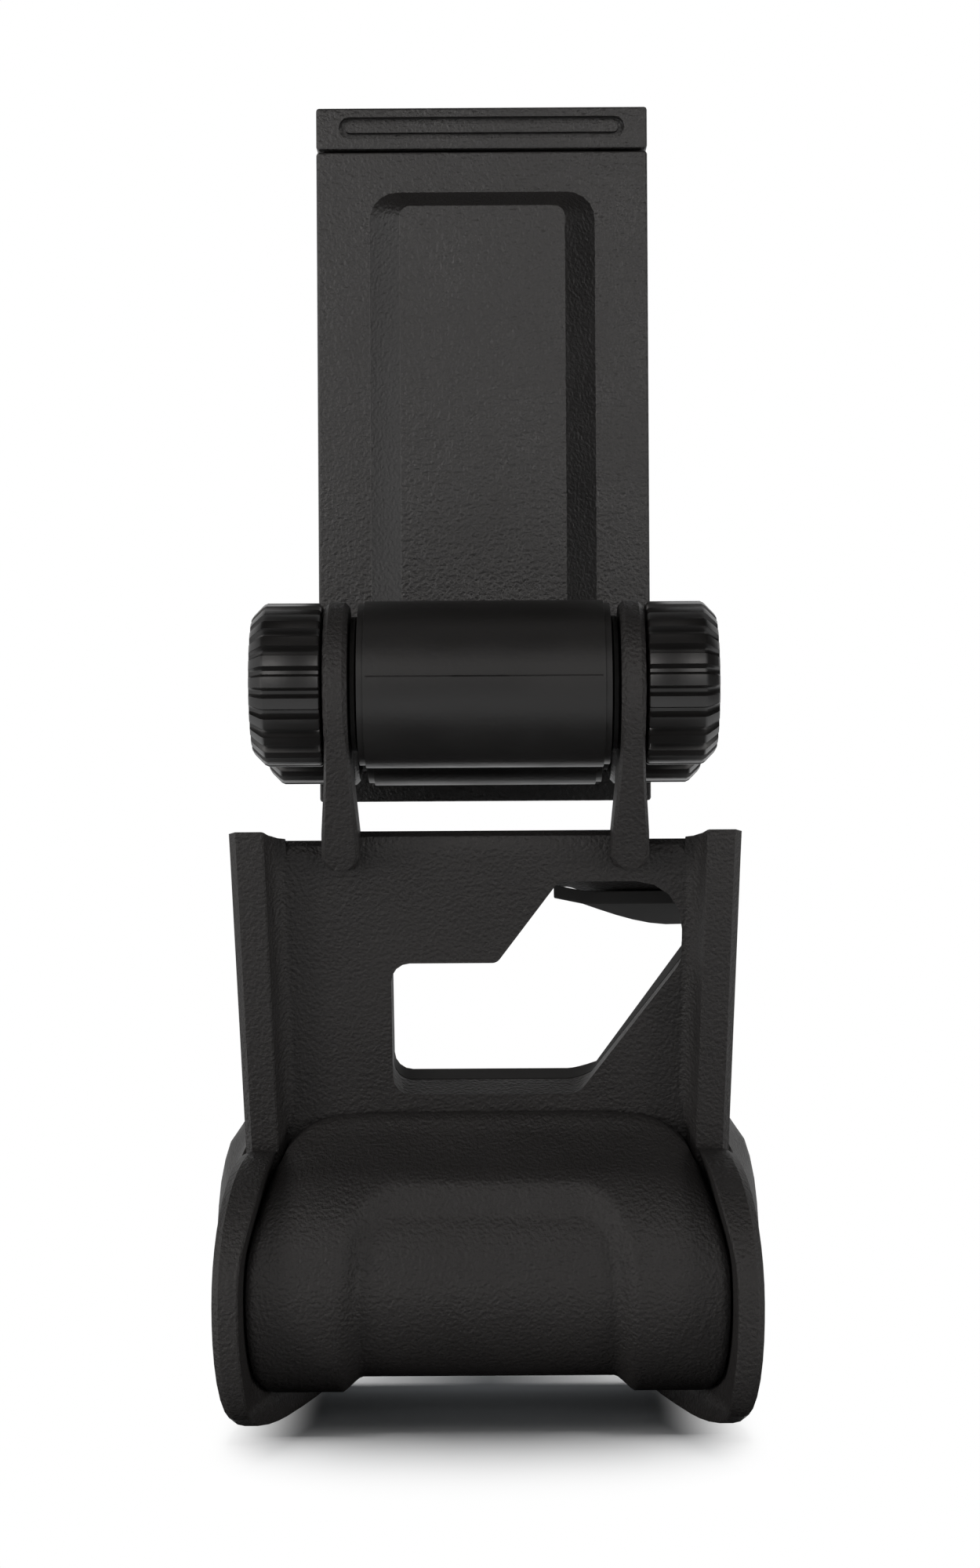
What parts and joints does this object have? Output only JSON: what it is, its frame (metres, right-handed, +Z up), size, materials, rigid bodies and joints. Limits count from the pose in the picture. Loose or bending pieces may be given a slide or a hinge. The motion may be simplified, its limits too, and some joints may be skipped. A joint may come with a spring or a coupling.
{
  "type": "controller phone clip",
  "caption": "Clip that holds a phone in a sprung clamp above a game controller, on a saddle with a double-hinged link and ribbed locking knobs.",
  "frame": {"origin": "centre of the overall box in plan, on the ground under the feet", "axes": "+Z up, +X along the hinge axes to the right as seen from the saddle, +Y from the saddle towards the phone"},
  "size_m": [0.0644, 0.069, 0.1542],
  "materials": {
    "matte_black": "fine matt spark texture",
    "satin_black": "semi-gloss moulded",
    "rubber": "matt",
    "steel": "zinc plated",
    "washer": "fibre"
  },
  "bodies": {
    "saddle": {"saddle_frame": "matte_black", "hump_cover": "matte_black", "port_pad": "rubber", "cradle_pad": "rubber", "hook_pad_left": "rubber", "hook_pad_right": "rubber"},
    "link": {"link_arm": "satin_black", "front_washer_left": "washer", "front_washer_right": "washer", "rear_washer_left": "washer", "rear_washer_right": "washer"},
    "front_left_knob": {"front_knob_left": "satin_black", "front_bolt": "steel"},
    "front_right_knob": {"front_knob_right": "satin_black", "front_nut": "steel"},
    "clamp": {"clamp_cover": "matte_black", "clamp_housing": "matte_black", "back_pad": "rubber", "lower_jaw_pad": "rubber", "cover_screw_1": "steel", "cover_screw_2": "steel", "cover_screw_3": "steel", "cover_screw_4": "steel", "spring_left": "steel", "spring_right": "steel"},
    "rear_left_knob": {"rear_knob_left": "satin_black", "rear_bolt": "steel"},
    "rear_right_knob": {"rear_knob_right": "satin_black", "rear_nut": "steel"},
    "jaw": {"upper_jaw": "matte_black", "upper_jaw_pad": "rubber"}
  },
  "joints": [
    {"name": "front_hinge", "type": "hinge", "parent": "saddle", "child": "link", "pos_m": [0, -0.02545, 0.0825], "axis": [1, 0, 0], "range_deg": [-5, 90]},
    {"name": "rear_hinge", "type": "hinge", "parent": "link", "child": "clamp", "pos_m": [0, -0.00145, 0.0806], "axis": [1, 0, 0], "range_deg": [-30, 85]},
    {"name": "jaw_slide", "type": "slide", "parent": "clamp", "child": "jaw", "axis": [0, 0, 1], "range_m": [0, 0.018], "stiffness_N_per_m": 300, "springref_m": -0.02, "deforming": ["spring_left", "spring_right"]},
    {"name": "front_left_knob_turn", "type": "hinge", "parent": "saddle", "child": "front_left_knob", "pos_m": [0, -0.02545, 0.0825], "axis": [1, 0, 0], "continuous": true},
    {"name": "front_right_knob_turn", "type": "hinge", "parent": "saddle", "child": "front_right_knob", "pos_m": [0, -0.02545, 0.0825], "axis": [1, 0, 0], "continuous": true},
    {"name": "rear_left_knob_turn", "type": "hinge", "parent": "clamp", "child": "rear_left_knob", "pos_m": [0, -0.00145, 0.0806], "axis": [1, 0, 0], "continuous": true},
    {"name": "rear_right_knob_turn", "type": "hinge", "parent": "clamp", "child": "rear_right_knob", "pos_m": [0, -0.00145, 0.0806], "axis": [1, 0, 0], "continuous": true}
  ]
}
